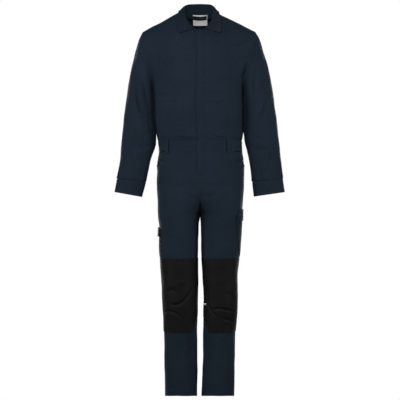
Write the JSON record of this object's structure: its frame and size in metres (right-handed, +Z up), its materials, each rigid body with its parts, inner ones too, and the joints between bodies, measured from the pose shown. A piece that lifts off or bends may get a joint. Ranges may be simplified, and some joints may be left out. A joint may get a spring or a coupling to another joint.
{
  "type": "boiler suit",
  "caption": "One-piece cloth boiler suit in its hollow worn form: collar, covered front closing, fitted waistband, long cuffed sleeves, thigh pockets and dark knee patches.",
  "frame": {"origin": "between the wearer's shoulders at the base of the neck, where the wearer holds the garment up", "axes": "+Z up along the wearer, -Y the way the garment faces, +X towards the wearer's left"},
  "size_m": [0.6857, 0.2629, 1.5995],
  "materials": {
    "navy_cloth": "dark navy work twill, matt, with a soft sheen on the folds",
    "knee_fabric": "black hard-wearing knee fabric, close and flat, a little smoother than the twill",
    "label_white": "white woven label tape, bare",
    "tag_dark": "near-black woven tag, bare"
  },
  "bodies": {
    "root": {"belt_loop_back": "navy_cloth", "belt_loop_left": "navy_cloth", "belt_loop_right": "navy_cloth", "bodice_back": "navy_cloth", "bodice_front_left": "navy_cloth", "bodice_front_right": "navy_cloth", "collar_fall": "navy_cloth", "collar_stand": "navy_cloth", "cuff_left": "navy_cloth", "cuff_right": "navy_cloth", "fly_placket": "navy_cloth", "hip_facing_left": "navy_cloth", "hip_facing_right": "navy_cloth", "knee_patch_left": "knee_fabric", "knee_patch_right": "knee_fabric", "knee_tab": "label_white", "neck_label": "label_white", "neck_tag": "tag_dark", "sleeve_left": "navy_cloth", "sleeve_right": "navy_cloth", "thigh_flap_left": "navy_cloth", "thigh_flap_right": "navy_cloth", "thigh_pocket_left": "navy_cloth", "thigh_pocket_right": "navy_cloth", "trouser_back_left": "navy_cloth", "trouser_back_right": "navy_cloth", "trouser_front_left": "navy_cloth", "trouser_front_right": "navy_cloth", "waistband_back": "navy_cloth", "waistband_front_left": "navy_cloth", "waistband_front_right": "navy_cloth"}
  },
  "joints": []
}
